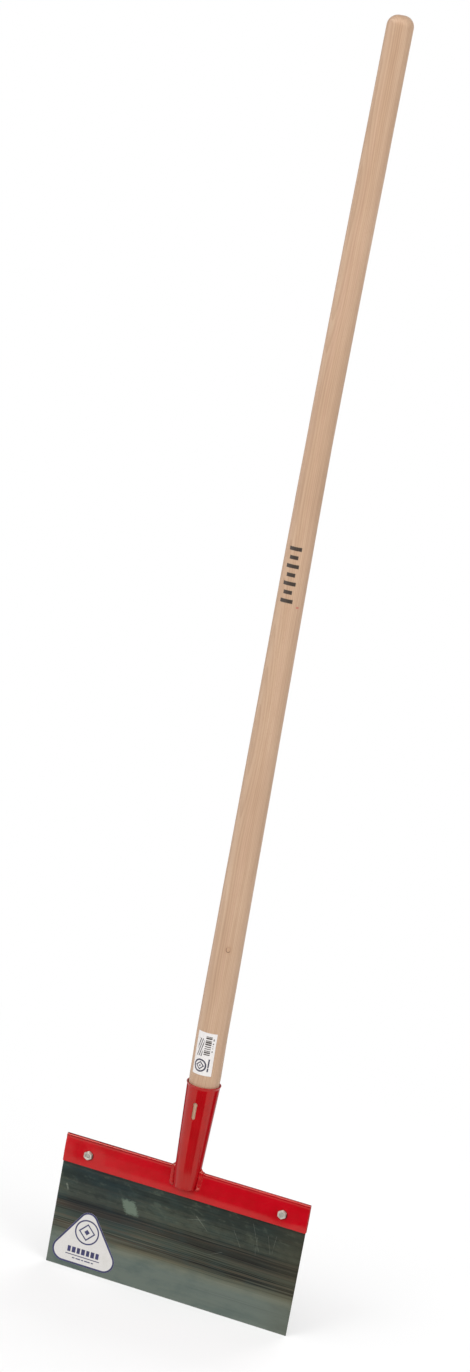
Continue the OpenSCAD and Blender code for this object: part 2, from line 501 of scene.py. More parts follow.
def wood_material():
    """Pale beech: growth layers, fibres, flecks, pores, a small knot and printed bars."""
    s = Shader("beech", Specular_IOR_Level=0.5, Sheen_Weight=0.14, Sheen_Roughness=0.45)
    sway = s.noise((6, 6, 2.2), 2)
    slow = s.noise(s.vector(3.1, 7.7, s.z * 4.0), 1)
    from_heart = s.reach(
        s.x + 0.034 + (sway - 0.5) * 0.020, s.y + 0.052 + (slow - 0.5) * 0.016
    )
    layers = s.math("FRACT", from_heart * 520)
    late = s.span(layers, 0.25, 0.92) * s.span(layers, 0.94, 1.0, 1.0, 0.0)
    fibre = s.noise((1500, 1500, 22), 3, 0.6)
    streak = s.noise((330, 330, 5), 3, 0.6)
    patch = s.noise((26, 26, 7), 3, 0.55)
    tone = streak * 0.42 + fibre * 0.32 + patch * 0.34 + 0.055 + late * -0.13
    s.colour = s.ramp(tone, [
        (0.30, rgb(157, 124, 98)), (0.50, rgb(175, 143, 116)),
        (0.62, rgb(183, 152, 125)), (0.80, rgb(191, 163, 137)),
    ])
    pink = s.noise((190, 190, 3.5), 2)
    s.paint(s.span(pink, 0.45, 0.75, 0.0, 0.26), 187, 149, 129)
    flecks = s.cells((900, 900, 130))
    fleck = s.span(flecks, 0.10, 0.24, 1.0, 0.0) * s.span(patch, 0.35, 0.6)
    s.paint(fleck * 0.42, 160, 118, 84)
    pore = s.span(s.noise((4200, 4200, 160), 1), 0.66, 0.76)
    s.paint(pore * 0.25, 150, 112, 84)
    front = s.math("LESS_THAN", s.y, 0.0)
    paint_knot(s, front)
    paint_speck(s, front)
    ink = printed_bars(s, fibre)
    s.paint(ink * 0.95, 38, 33, 30)
    rough = fibre * 0.16 + ink * -0.08 + 0.42
    relief = fibre * 0.5 + late * 0.25 + pore * -0.5
    return s.finished(rough, relief, 0.10 * MM, 0.8)


# ---- paint and metal
def paint_holder_dirt_and_shade(s, grain):
    """Dirt and a painted contact shadow in a ring round the nuts, heavier at the lower right, and
    painted shade along the fold's crease and top.
    """
    for centre in BOLT_CENTRES:
        # A dark ring round each nut: paint cracks and dirt, with a painted contact shadow, shifted
        # to the lower right
        away = s.reach(s.x - (centre.x + 0.5 * MM), s.z - (centre.z - 0.4 * MM))
        crack_dirt_and_shadow = s.span(away, 4.9 * MM, 6.3 * MM, 0.95, 0.0) * s.span(grain, 0.3, 0.6, 0.7, 1.0)
        s.paint(crack_dirt_and_shadow, 36, 5, 8)
    # Painted shade: a dark line in the fold's crease and a dark line along its top edge, stronger
    # to the left
    under = HOLDER_TOP - s.z
    fold = s.any(
        s.band(under, 2.2 * MM, 1.0 * MM, 0.3 * MM), s.span(under, 0.3 * MM, 0.7 * MM, 1.0, 0.0)
    )
    fold = fold * s.span(s.x, -0.10, 0.0, 0.8, 0.45)
    s.paint(fold, 86, 0, 8)


def red_material(name, depth, lumpy=0.0, marks=None):
    """Glossy red paint, made darker as painted shade by a depth from 0 to 1: slight flow marks and
    dust specks.
    """
    s = Shader(name, Specular_IOR_Level=0.44, Specular_Tint=(1.0, 0.94, 0.72, 1.0))
    # depth darkens this copy of the red as painted shade
    light = rgb(176 - 14 * depth, 3, 22 - 8 * depth)
    dark = rgb(168 - 14 * depth, 2, 18 - 6 * depth)
    s.colour = s.mix(s.span(s.noise(55, 3), 0.35, 0.65), dark, light)
    grain = s.noise(310, 1)
    speck = s.span(s.cells(900), 0.06, 0.12, 1.0, 0.0) * s.span(grain, 0.55, 0.62)
    s.paint(speck * 0.25, 214, 120, 110)
    if marks:
        marks(s, grain)
    smear = s.noise((120, 120, 30), 4, 0.6)
    rough = smear * 0.08 + speck * 0.2 + 0.08
    height = s.noise(420, 2, 0.4) * 0.5 + s.noise(130, 1) * (0.5 + lumpy)
    return s.finished(rough, height, 0.05 * MM, 0.55 + lumpy * 0.2)


def zinc_material(name, painted_shade):
    """Zinc plating with faint crystals and stains; the last argument darkens the whole copy as
    painted shade.
    """
    s = Shader(name, Metallic=0.5)
    crystals = s.cells(700)
    cloud = s.noise(240, 4, 0.6)
    s.colour = s.mix(s.span(cloud, 0.35, 0.65), rgb(182, 176, 165), rgb(208, 203, 193))
    s.paint(s.span(crystals, 0.1, 0.6, 0.16, 0.0), 150, 148, 138)
    # Painted shade: the whole copy is darkened evenly
    s.paint(painted_shade, 104, 100, 94)
    rough = cloud * 0.22 + crystals * 0.08 + 0.22
    return s.finished(rough, cloud + crystals * 0.4, 0.03 * MM, 0.6)


# ---- blade steel
BARE = rgb(103, 112, 104)
PALE = rgb(112, 116, 102)
OLIVE = rgb(96, 95, 78)
MOSS = rgb(75, 81, 69)
STREAK = rgb(50, 50, 43)
SHADE = rgb(47, 56, 50)
DEEP = rgb(34, 37, 30)
# Temper tones up the blade, by height in millimetres
BLADE_BANDS = [
    (0, BARE), (30, BARE), (38, PALE), (44, OLIVE), (52, STREAK), (62, MOSS), (67, MOSS),
    (70, STREAK), (81, STREAK), (88, MOSS), (98, MOSS), (110, SHADE), (119, SHADE), (126, DEEP),
]
# Scratches on the blade: (x, z) of both ends and the width, in millimetres
SCRATCHES = [
    ((67, 104), (78, 86), 0.35), ((88, 119), (100, 88), 0.30), ((108, 109), (114, 89), 0.35),
    ((118, 112), (116, 90), 0.25), ((96, 104), (97, 82), 0.22), ((20, 107), (36, 93), 0.5),
    ((10, 100), (31, 105), 0.4), ((42, 66), (58, 74), 0.25), ((-141, 99), (-138, 92), 2.2),
]


def paint_temper(s, high, cloud, broad, middle):
    """Blue-green on the left and near the top, brown streaks, darker to the right."""
    left = s.span(s.x, -0.15, 0.15, 1.0, 0.0, "LINEAR")
    blue = s.span(cloud, 0.42, 0.66) * (0.15 + left * 0.30)
    brown = s.span(broad, 0.48, 0.62) * middle * 0.42
    green = s.span(cloud, 0.36, 0.24) * s.span(high, 20 * MM, 60 * MM) * 0.30
    upper = s.span(high, 50 * MM, 70 * MM)
    gloom = s.span(s.x, -0.12, 0.12, 0.0, 0.42) * upper
    dusk = s.span(s.x, -0.01, -0.09, 0.0, 0.42)
    dusk = dusk * s.span(s.x, -0.15, -0.12, 0.35, 1.0) * upper
    rust = s.span(s.x, 0.10, 0.15, 0.0, 0.3) * s.span(cloud, 0.3, 0.7, 0.5, 1.0)
    s.paint(blue, 52, 76, 76)
    s.paint(brown, 84, 66, 52)
    s.paint(green, 66, 84, 58)
    s.paint(gloom, 30, 31, 28)
    s.paint(dusk, 10, 24, 36)
    s.paint(rust, 86, 80, 58)


def paint_patches(s, front, cloud):
    """A pale patch and a smudge on the front."""
    edge = (s.noise((300, 300, 700), 3) - 0.5) * 0.008
    px = s.x + edge + s.z * 0.45
    patch = s.box(px, s.z + edge, -18.2 * MM, 92.8 * MM, 16 * MM, 16 * MM, 2 * MM)
    s.paint(patch * front * 0.62, 118, 134, 118)
    smudge = s.box(s.x, s.z, 21 * MM, 98 * MM, 16 * MM, 12 * MM, 7 * MM)
    smudge = smudge * front * s.span(cloud, 0.3, 0.6) * 0.35
    s.paint(smudge, 98, 104, 92)


def blade_scratches(s, front, mottle, fine):
    """Where the blade is scratched: single strokes on the front, and fine hairs near the top."""
    lines = [
        s.stroke([c * MM for c in start], [c * MM for c in end], w * MM, 0.22 * MM) * 0.4
        for start, end, w in SCRATCHES
    ]
    across = (s.x + s.z * 0.35) * 1700
    hair = s.noise(s.vector(across, 0.0, s.z * 26), 2, 0.6)
    hairs = s.span(hair, 0.70, 0.78) * s.span(s.z, 70 * MM, 84 * MM) * 0.35
    worn = s.span(mottle, 0.42, 0.58, 0.45, 1.0)
    strokes = s.any(*lines) * front * worn
    return s.any(hairs, strokes) * s.span(fine, 0.3, 0.5, 0.5, 1.0)


def blade_material():
    """Tempered spring steel: bands and fine streaks along the width, marks and scratches."""
    s = Shader("tempered_steel", Metallic=0.35, Anisotropic=0.4, Specular_IOR_Level=0.25)
    sag = s.noise((5, 5, 22), 3, 0.6)
    high = s.z + (sag - 0.5) * 0.005
    top = BLADE_BANDS[-1][0]
    bands = [(z / top, tone) for z, tone in BLADE_BANDS]
    s.colour = s.ramp(high * (1 / (top * MM)), bands)

    def streaks(along, up, detail, rough):
        place = s.vector(s.x * along, s.y * along, high * up)
        return s.noise(place, detail, rough)

    fine = streaks(3.5, 1500, 3, 0.7)
    thin = streaks(4, 720, 2, 0.6)
    broad = streaks(3, 300, 2, 0.6)
    cloud = s.noise((22, 22, 60), 4, 0.6)

    # The rolled streaks are strongest in the middle of the blade
    middle = s.span(high, 36 * MM, 52 * MM) * s.span(high, 74 * MM, 92 * MM, 1.0, 0.25)
    shade = fine * 0.5 + thin * 1.0 + broad * 0.9 - 1.2
    shade = shade * (0.22 + middle * 0.78)
    s.paint(s.span(shade, -0.22, 0.0, 0.85, 0.0), 20, 18, 17)
    s.paint(s.span(shade, 0.0, 0.30, 0.0, 0.70), 112, 113, 98)

    # Mottling in the upper part
    across = (s.x + s.z * 0.5) * 60
    mottle = s.noise(s.vector(across, 0.0, s.z * 120), 5, 0.68)
    over = s.span(high, 80 * MM, 92 * MM)
    s.paint(s.span(mottle, 0.50, 0.36) * over * 0.42, 28, 34, 33)
    s.paint(s.span(mottle, 0.52, 0.68) * over * 0.38, 108, 116, 98)
    paint_temper(s, high, cloud, broad, middle)
    front = s.math("LESS_THAN", s.y, 0.0)
    paint_patches(s, front, cloud)
    scratch = blade_scratches(s, front, mottle, fine)
    s.paint(scratch, 150, 156, 142)

    # The sheared cutting edge is barer
    s.paint(s.span(s.z, 0.4 * MM, 1.0 * MM, 0.3, 0.0), 138, 140, 134)
    rough = 0.34 + fine * 0.16 + cloud * 0.10 + scratch * 0.15
    relief = fine * 0.7 + broad * 0.3
    return s.finished(rough, relief, 0.012 * MM, 0.7)


# ---- print and floor
def sticker_material():
    """Off-white film with a dark blue outline and plain blue marks in place of a badge."""
    s = Shader("sticker_film", Specular_IOR_Level=0.4)
    u = (s.x - STICKER_X) * (1 / MM)
    v = (s.z - STICKER[0].z) * (1 / MM)
    rim = Value(s, s.add("ShaderNodeAttribute", attribute_name="rim").outputs["Fac"])
    soft = 0.12
    marks = [s.band(rim, 1.1, 2.1, soft)]

    # A plain ring with a diamond in it, where a badge would be
    ring_v = v - 41.9
    diamond = s.diamond(u, ring_v)
    for value, centre, width in ((s.reach(u, ring_v), 14.2, 1.75), (diamond, 9.4, 2.2),
                                 (diamond, 0.0, 7.0)):
        marks.append(s.band(value, centre, width, soft))

    # Blocks for a heading, a rule under them, and dashes for small print
    blocks = [(-18.3 + 5.9 * i, 17.0, 4.0 + 0.6 * (i % 2), 7.0) for i in range(7)]
    blocks.append((-0.5, 10.8, 43, 1.05))
    for left, width in ((-13, 3.4), (-8.4, 6.0), (-1.2, 2.6), (2.6, 7.2), (11.0, 2.8)):
        blocks.append((left + width / 2, 7.2, width, 1.3))
    marks += [s.box(u, v, *block, soft) for block in blocks]
    ink = s.any(*marks)
    speck = s.noise(1100, 2)
    stain = s.noise(70, 3)
    s.colour = s.mix(s.span(speck, 0.4, 0.7), rgb(206, 203, 200), rgb(199, 196, 192))
    s.paint(s.span(stain, 0.5, 0.8, 0.0, 0.35), 190, 187, 180)
    ink_tone = s.mix(s.span(stain, 0.3, 0.7), rgb(8, 8, 70), rgb(18, 18, 88))
    s.colour = s.mix(ink * 0.94, s.colour, ink_tone)
    rough = speck * 0.10 + ink * -0.08 + 0.36
    relief = stain * 0.6 + speck * 0.1
    return s.finished(rough, relief, 0.03 * MM, 0.5)


def label_material():
    """White paper with random bars, leaning rules and a ring round a plain square mark."""
    s = Shader("label_paper", Specular_IOR_Level=0.4)
    angle = handle_angle(s, (LABEL[0].z + LABEL[1].z) / 2)
    u = angle * (HANDLE_R / MM)
    v = (s.z - LABEL[0].z) * (1 / MM)
    soft = 0.08

    def dashes(rate, share, seed):
        """Printed where a row of random values along v is over 1 - share."""
        rows = s.math("FLOOR", v * rate) + seed
        return s.math("GREATER_THAN", s.dice(rows), 1 - share)

    bar = v * 0.42
    bar_w = s.dice(s.math("FLOOR", bar) + 0.5) * 0.48 + 0.36
    bars = s.math("LESS_THAN", s.math("FRACT", bar), bar_w)
    barcode = bars * s.box(u, v, 3.0, 35.5, 7.2, 23, soft)
    lean = s.math("FRACT", (u + v * -0.22) * 0.40)
    rules = s.math("GREATER_THAN", lean, 0.52)
    rules = rules * dashes(0.21, 0.93, 40.5) * s.box(u, v, -5.4, 32, 6.8, 21, soft)
    small = dashes(1.2, 0.65, 80.5) * s.box(u, v, 8.6, 35, 1.3, 20, soft)
    column = dashes(1.6, 0.8, 20.5) * s.box(u, v, 7.2, 12.5, 1.7, 15, soft)
    ring_u = u + 2.4
    ring_v = v - 11.0
    diamond = s.diamond(ring_u, ring_v)
    blue = s.any(
        s.band(s.reach(ring_u, ring_v), 6.7, 1.9, soft), column,
        s.band(diamond, 4.2, 1.9, soft), s.band(diamond, 0.0, 2.6, soft),
    )
    speck = s.noise(1500, 2)
    s.colour = s.mix(speck, rgb(222, 218, 216), rgb(211, 207, 205))
    s.paint(s.any(rules, small) * 0.9, 64, 58, 60)
    s.paint(barcode * 0.92, 52, 42, 34)
    s.paint(blue * 0.92, 20, 22, 54)
    return s.finished(speck * 0.12 + 0.42, speck, 0.015 * MM, 0.5)


def floor_material():
    """Pale floor that fades into the backdrop's white away from the object."""
    s = Shader("floor", Roughness=0.9, Specular_IOR_Level=0.1)
    s.set("Base Color", s.mix(s.noise(3, 2), (0.86, 0.86, 0.86, 1), (0.88, 0.88, 0.88, 1)))
    fade = s.span(s.reach(s.x, s.y), 0.0, 1.0, 0.4, 1.0)
    glow = s.add("ShaderNodeEmission", (BACKDROP, BACKDROP, BACKDROP, 1))
    blend = s.add("ShaderNodeMixShader", fade, s.surface.outputs["BSDF"], glow.outputs[0])
    s.plug(s.output.inputs["Surface"], blend.outputs[0])
    return s.material


# ---- handle
def socket_cone(z):
    """Outer radius of the socket's cone at height z, without the lip."""
    return SOCKET_R_LOW + SOCKET_SLOPE * (z - SOCKET_Z)


def handle_radius(z):
    wedge_r = socket_cone(HANDLE_Z) - SOCKET_WALL - WEDGE_GAP
    wedge_top = HANDLE_Z + (HANDLE_R - wedge_r) / SOCKET_SLOPE
    return curve(z, [
        (HANDLE_Z, wedge_r), (wedge_top, HANDLE_R), (FOOT_TOP, HANDLE_R),
        (GRIP_Z, GRIP_R), (GRIP_TOP, GRIP_R),
    ])


def build_handle(material):
    """A turned handle with its natural bow, sanded a little out of round."""
    dome_r = HANDLE_TOP - GRIP_TOP
    flat_r = GRIP_R - dome_r
    stations = [(z, handle_radius(z)) for z in spread(HANDLE_Z, GRIP_TOP, 6 * MM)]
    for turn in angles(90 / 14, 90, 14):
        stations.append((GRIP_TOP + dome_r * math.sin(turn), flat_r + dome_r * math.cos(turn)))
    stations += [(HANDLE_TOP, flat_r * share) for share in (0.6, 0.2)]
    rings = []
    for z, radius in stations:
        above = smooth(RIM_Z + 70 * MM, RIM_Z + 200 * MM, z)
        ring = []
        for turn in full_turn(HANDLE_SIDES):
            out = Vector((math.sin(turn), -math.cos(turn), 0))
            uneven = 0.14 * MM * wander(out.x * 1.3, out.y * 1.3, z * 9, 1)
            uneven += 0.05 * MM * wander(out.x * 4, out.y * 4, z * 30, 2)
            reach = radius + (uneven - 0.1 * MM) * above
            ring.append(out * reach + Vector((handle_shift(z), 0, z)))
        rings.append(ring)
    add_piece("wooden_handle", from_rings(rings), material, "handle")


# ---- socket
def socket_outer(z):
    """Outer radius with the flared lip, and a slight closing in at the lower end."""
    lip = (RIM_Z - LIP_H, RIM_Z + LIP_H * 0.35)
    flare = (RIM_R - socket_cone(RIM_Z)) * smooth(*lip, z) / smooth(*lip, RIM_Z)
    close = 0.9 * MM * (1 - smooth(SOCKET_Z, SOCKET_Z + 30 * MM, z)) ** 2
    return socket_cone(z) + flare - close


def socket_point(turn, z, depth):
    radius = socket_outer(z) - depth
    return Vector((math.sin(turn) * radius, -math.cos(turn) * radius, z))


def socket_margin(turn, z):
    """Distance into the socket's sheet from the nearest edge; negative in a hole."""
    p = socket_point(turn, z, 0)
    margins = [z - SOCKET_Z, RIM_Z - z]
    if p.y < 0:
        low = Vector((0, SLOT_TOP - SLOT_LEN + SLOT_R))
        high = Vector((0, SLOT_TOP - SLOT_HEAD_R))
        at = Vector((p.x, p.z))
        nearest = Vector((0, min(high.y, max(low.y, at.y))))
        margins.append((at - nearest).length - SLOT_R)
        margins.append((at - high).length - SLOT_HEAD_R)
    else:
        margins.append(math.hypot(p.x, p.z - SCREW_Z) - SCREW_HOLE_R)
    side = Vector((abs(p.y) - SLIT_HALF, z - SLIT_Z))
    outside = Vector((max(side.x, 0), max(side.y, 0))).length
    margins.append(outside + min(0, max(side.x, side.y)))
    return min(margins)


def margin_slope(turn, z):
    """Direction in which the margin grows, in (turn, z), and how fast."""
    h = 0.02 * MM
    aside = h / SOCKET_SCALE
    across = (socket_margin(turn + aside, z) - socket_margin(turn - aside, z)) / (2 * h)
    along = (socket_margin(turn, z + h) - socket_margin(turn, z - h)) / (2 * h)
    slope = Vector((across, along))
    return slope / max(slope.length, 1e-6)


def fine_steps(low, high, coarse, spots):
    """Values from low to high that are coarse apart, and finer in (centre, reach, step) spots."""
    values = [low]
    while values[-1] < high - 1e-9:
        step = coarse
        for centre, reach, fine in spots:
            if abs(values[-1] - centre) < reach:
                step = min(step, fine)
        values.append(min(high, values[-1] + step))
    if len(values) > 2 and values[-1] - values[-2] < 0.3 * coarse:
        values.pop(-2)
    return values


def socket_cells():
    """The grid's cells that lie in the sheet, by their corners, and each corner's (turn, z)."""
    quarter = math.pi / 2 * SOCKET_SCALE
    around = fine_steps(-2 * quarter, 2 * quarter, 1.4 * MM, [
        (0, 5 * MM, 0.5 * MM), (-quarter, 5 * MM, 0.6 * MM), (quarter, 5 * MM, 0.6 * MM),
        (-2 * quarter, 4.5 * MM, 0.5 * MM), (2 * quarter, 4.5 * MM, 0.5 * MM),
    ])
    heights = fine_steps(SOCKET_Z + SOCKET_EDGE, RIM_Z - SOCKET_EDGE, 1.6 * MM, [
        (SOCKET_Z, 3 * MM, 0.6 * MM), (SLIT_Z, 3 * MM, 0.6 * MM),
        (SLOT_TOP - SLOT_LEN, 5 * MM, 0.5 * MM), (SLOT_TOP, 5.5 * MM, 0.5 * MM),
        (SCREW_Z, 4 * MM, 0.5 * MM), (RIM_Z, 9 * MM, 0.8 * MM),
    ])
    turns = [u / SOCKET_SCALE for u in around]
    count = len(turns) - 1
    places = {}
    cells = []
    for row in range(len(heights) - 1):
        for column in range(count):
            right = (column + 1) % count
            corners = [(row, column), (row, right), (row + 1, right), (row + 1, column)]
            middle = (turns[column] + turns[column + 1]) / 2
            if socket_margin(middle, (heights[row] + heights[row + 1]) / 2) > SOCKET_EDGE * 0.9:
                cells.append(corners)
                for corner in corners:
                    places.setdefault(corner, (turns[corner[1]], heights[corner[0]]))
    return cells, places


def build_socket(material):
    """The socket as one sheet with thickness: both faces, round edges, slot, slit and hole."""
    cells, places = socket_cells()
    edges = dict.fromkeys(
        pair for corners in cells for pair in zip(corners, corners[1:] + corners[:1])
    )
    border = [(start, end) for start, end in edges if (end, start) not in edges]

    # Border corners move to where the margin is just the edge's radius
    slopes = {}
    for corner in {corner for pair in border for corner in pair}:
        turn, z = places[corner]
        for _ in range(6):
            slope = margin_slope(turn, z)
            step = SOCKET_EDGE - socket_margin(turn, z)
            turn += slope.x * step / SOCKET_SCALE
            z += slope.y * step
        places[corner] = (turn, z)
        slopes[corner] = margin_slope(turn, z)

    mesh = bmesh.new()
    normals = []

    def vertex(turn, z, depth, exact):
        point = mesh.verts.new(socket_point(turn, z, depth))
        if exact:
            h = 0.05 * MM
            lean = (socket_outer(z + h) - socket_outer(z - h)) / (2 * h)
            normal = Vector((math.sin(turn), -math.cos(turn), -lean)).normalized()
            normals.append(normal if depth == 0 else -normal)
        else:
            normals.append(Vector((0, 0, 0)))
        return point

    outer = {corner: vertex(*place, 0, True) for corner, place in places.items()}
    inner = {corner: vertex(*place, SOCKET_WALL, True) for corner, place in places.items()}
    for corners in cells:
        mesh.faces.new([outer[c] for c in corners])
        mesh.faces.new([inner[c] for c in reversed(corners)])

    # (away, depth) of the rings over the edge: a quarter round, the wall, and a quarter round
    profile = [
        (SOCKET_EDGE * math.sin(t), SOCKET_EDGE * (1 - math.cos(t))) for t in angles(22.5, 90, 4)
    ]
    profile += [(away, SOCKET_WALL - depth) for away, depth in reversed(profile)]
    walls = {}
    for corner, slope in slopes.items():
        turn, z = places[corner]
        rings = [
            vertex(turn - slope.x * away / SOCKET_SCALE, z - slope.y * away, depth, False)
            for away, depth in profile
        ]
        walls[corner] = [outer[corner], *rings, inner[corner]]
    for start, end in border:
        for i in range(len(profile) + 1):
            mesh.faces.new((walls[end][i], walls[start][i], walls[start][i + 1], walls[end][i + 1]))
    add_piece("welded_socket", mesh, material, "socket", 60, normals)


# ---- blade and holder
def blade_wave(x, z):
    """How far the blade's sheet stands off its flat plane, held flat in the holder."""
    free = 1 - smooth(HOLDER_Z - 45 * MM, HOLDER_Z - 2 * MM, z)
    return 0.09 * MM * free * wander(x * 11, 3, z * 5, 5)


def blade_section(x, shrink):
    """Outline in (y, z) of the blade at x, with round edges."""
    half_t = BLADE_HALF_T - shrink
    low = BLADE[0].z + shrink
    high = BLADE_TOP - shrink

    def side(sign, order):
        return [(sign * half_t + blade_wave(x, z), z) for z in order]

    def end(sign, z):
        """Half round over the top, with sign -1, or under the lower edge, with sign 1."""
        return [
            (sign * half_t * math.cos(t) + blade_wave(x, z),
             z + sign * BLADE_EDGE * (1 - math.sin(t)))
            for t in angles(30, 150, 3)
        ]

    flat = spread(low + BLADE_EDGE, high - BLADE_EDGE, 4 * MM)
    return side(-1, flat) + end(-1, high) + side(1, flat[::-1]) + end(1, low)


def holder_swell(x, z):
    """How far each leg of the fold stands off the blade: pulled in at bolts and lower edge."""
    fold = 1 - smooth(HOLDER_TOP - 14 * MM, HOLDER_TOP - 3 * MM, z)
    lip = smooth(HOLDER_Z - 5 * MM, HOLDER_Z + 11 * MM, z)
    swell = 0.75 * MM * fold * lip
    for centre in BOLT_CENTRES:
        away = math.hypot(x - centre.x, z - centre.z)
        swell *= 0.72 + 0.28 * smooth(3.5 * MM, 22 * MM, away)
    bead = FOLD_BULB * (1 - 0.6 * smooth(-90 * MM, -40 * MM, x))
    bead *= smooth(HOLDER_TOP - 5.0 * MM, HOLDER_TOP - HOLDER_HALF_T - FOLD_BULB, z)
    return swell + bead + 0.03 * MM * fold * lip * wander(x * 25, 1, z * 30, 7)


# How far up the fold's straight legs their rows of points are, closer near the crease
LEG_SHARES = spread(0.0, 0.87, 0.048) + spread(0.885, 1.0, 0.013)


def holder_section(x, shrink):
    """Outline in (y, z) of the folded sheet at x: out and round, then back inside."""
    mid = HOLDER_HALF_T - SHEET / 2
    half = SHEET / 2 - shrink
    low = HOLDER_Z + shrink
    bulb = holder_swell(x, HOLDER_TOP)
    centre = HOLDER_TOP - HOLDER_HALF_T - bulb
    foot_top = low + HOLDER_EDGE
    legs = [foot_top + (centre - foot_top) * share for share in LEG_SHARES]

    def line(offset):
        """Up the front leg, over the fold and down the rear leg, off the sheet's middle."""
        leg = [(mid + offset + holder_swell(x, z), z) for z in legs]
        radius = mid + bulb + offset
        fold = [
            (-radius * math.cos(t), centre + radius * math.sin(t))
            for t in angles(11.25, 168.75, 15)
        ]
        return [(-y, z) for y, z in leg] + fold + leg[::-1]

    base = mid + holder_swell(x, low)
    foot = [
        (base + half * math.cos(t), low + HOLDER_EDGE * (1 - math.sin(t)))
        for t in angles(18, 162, 9)
    ]
    return line(half) + foot + line(-half)[::-1] + [(-y, z) for y, z in foot[::-1]]


def end_stations(end, edge, step):
    """(x, how much the section shrinks) along the whole width, with round ends."""
    body = [(x, 0) for x in spread(-end + edge, end - edge, step)]
    cap = [
        (end - edge * (1 - math.sin(t)), edge * (1 - math.cos(t))) for t in angles(30, 90, 3)
    ]
    return [(-x, shrink) for x, shrink in reversed(cap)] + body + cap


def bolt_hole(centre):
    """A closed cylinder along Y through a bolt's place."""
    mesh = bmesh.new()
    place = Matrix.Translation((centre.x, 0, centre.z)) @ Matrix.Rotation(-math.pi / 2, 4, "X")
    bmesh.ops.create_cone(
        mesh, cap_ends=True, segments=48, radius1=HOLE_R, radius2=HOLE_R, depth=20 * MM,
        matrix=place,
    )
    return mesh


def build_plate(name, end, edge, step, section, material, node):
    """A plate from its cross-sections along X, with the bolt holes through it."""
    rings = [
        [Vector((x, y, z)) for y, z in section(x, shrink)]
        for x, shrink in end_stations(end, edge, step)
    ]
    mesh = cut(from_rings(rings), [bolt_hole(centre) for centre in BOLT_CENTRES])
    add_piece(name, mesh, material, node)


# ---- welds
WELD_Z = HOLDER_Z + 14.5 * MM
WELD_TOP = HOLDER_TOP + 0.5 * MM
WELD_VOXEL = 0.32 * MM
# Runs of each bead, by side: distance out from the socket, height off the holder and radius
# in millimetres, and roughness
WELD_RUNS = {
    -1: [(0.2, 0.0, 2.6, 0.15), (2.2, 0.1, 2.0, 0.15)],
    1: [(0.6, 0.1, 1.9, 0.25), (2.4, 0.5, 1.3, 0.35), (3.9, 0.1, 1.1, 0.4)],
}


def build_weld(where, side, face, seed, material):
    """A lumpy bead up the corner between the socket and one face of the holder."""
    dice = random.Random(seed)
    mesh = bmesh.new()

    def drop(x, y, z, radius, flat=1.0):
        size = Matrix.Diagonal((1, 1, flat, 1))
        bmesh.ops.create_icosphere(
            mesh, subdivisions=3, radius=radius,
            matrix=Matrix.Translation((side * x, face * y, z)) @ size,
        )

    for out, lift, radius, rough in WELD_RUNS[side]:
        z = WELD_Z
        while z < WELD_TOP + (1 - out / 4 - 1.5 * radius) * MM:
            grow = 1 + rough * (dice.random() - 0.5)
            drop(socket_cone(z) + (out + rough * (dice.random() - 0.5)) * MM,
                 HOLDER_HALF_T + lift * MM, z, radius * grow * MM, 1.9)
            z += (1.0 + 2 * rough * dice.random()) * MM
    drop(socket_cone(WELD_Z) + 1.7 * MM, HOLDER_HALF_T + 0.6 * MM, WELD_Z - 0.6 * MM,
         (2.0 if side < 0 else 2.9) * MM, 0.8)
    for out, up, radius in ((0.4, 2.2, 0.9), (0.7, 1.0, 1.2), (1.6, -0.1, 1.3), (2.8, -0.9, 1.3)):
        drop(socket_cone(WELD_TOP) + out * MM, 0.9 * MM, WELD_TOP + up * MM, radius * MM)
    blob = new_object("weld_blob", mesh)
    remesh = blob.modifiers.new("skin", "REMESH")
    remesh.mode = "VOXEL"
    remesh.voxel_size = WELD_VOXEL
    relax = blob.modifiers.new("relax", "SMOOTH")
    relax.factor = 0.5
    relax.iterations = 4
    add_piece("weld_bead_" + where, taken(blob), material, "weld_" + where, 80)


# ---- fasteners
def circle(radius, y, sides=HEX_SIDES):
    """Points round the Y axis; radius is a number, or a function of the angle from +X."""
    points = []
    for turn in full_turn(sides):
        reach = radius(turn) if callable(radius) else radius
        points.append(Vector((reach * math.cos(turn), y, reach * math.sin(turn))))
    return points


def hex_rings(flat, base, height, hole):
    """Rings of a hexagonal prism along -Y from base, with its far corners cut by a cone.

    flat is half the width over flats, and hole the share of it that the last ring leaves.
    """
    def prism(share, y):
        def reach(turn):
            return share * flat / math.cos((turn + math.pi / 6) % (math.pi / 3) - math.pi / 6)
        return circle(reach, y)

    def far(share, lift=0):
        ring = prism(share, base - height + lift)
        for p in ring:
            p.y += max(0, math.hypot(p.x, p.z) - 0.97 * flat) * HEX_BEVEL
        return ring

    rings = [prism(0.985, base), prism(1, base - 0.12 * MM), far(1, 0.05 * MM)]
    return rings + [far(share) for share in (0.99, 0.95, 0.9, 0.84, hole)]


def build_nut(side, material):
    """A hexagon nut with cut corners and a plain bore, countersunk at both ends."""
    low, high = NUTS[side]
    bore = BOLT_R + 0.05 * MM
    rings = hex_rings((high.z - low.z) / 2, high.y, high.y - low.y, 0.76)
    rings += [
        circle(bore + 0.55 * MM, low.y), circle(bore + 0.42 * MM, low.y + 0.05 * MM),
        circle(bore, low.y + 0.5 * MM), circle(bore, high.y - 0.5 * MM),
        circle(bore + 0.4 * MM, high.y),
    ]
    centre = Vector(((low.x + high.x) / 2, 0, (low.z + high.z) / 2))
    rings = [[p + centre for p in ring] for ring in rings]
    add_piece("hex_nut_" + side, from_rings(rings, tube=True), material, "nut_" + side, 28)


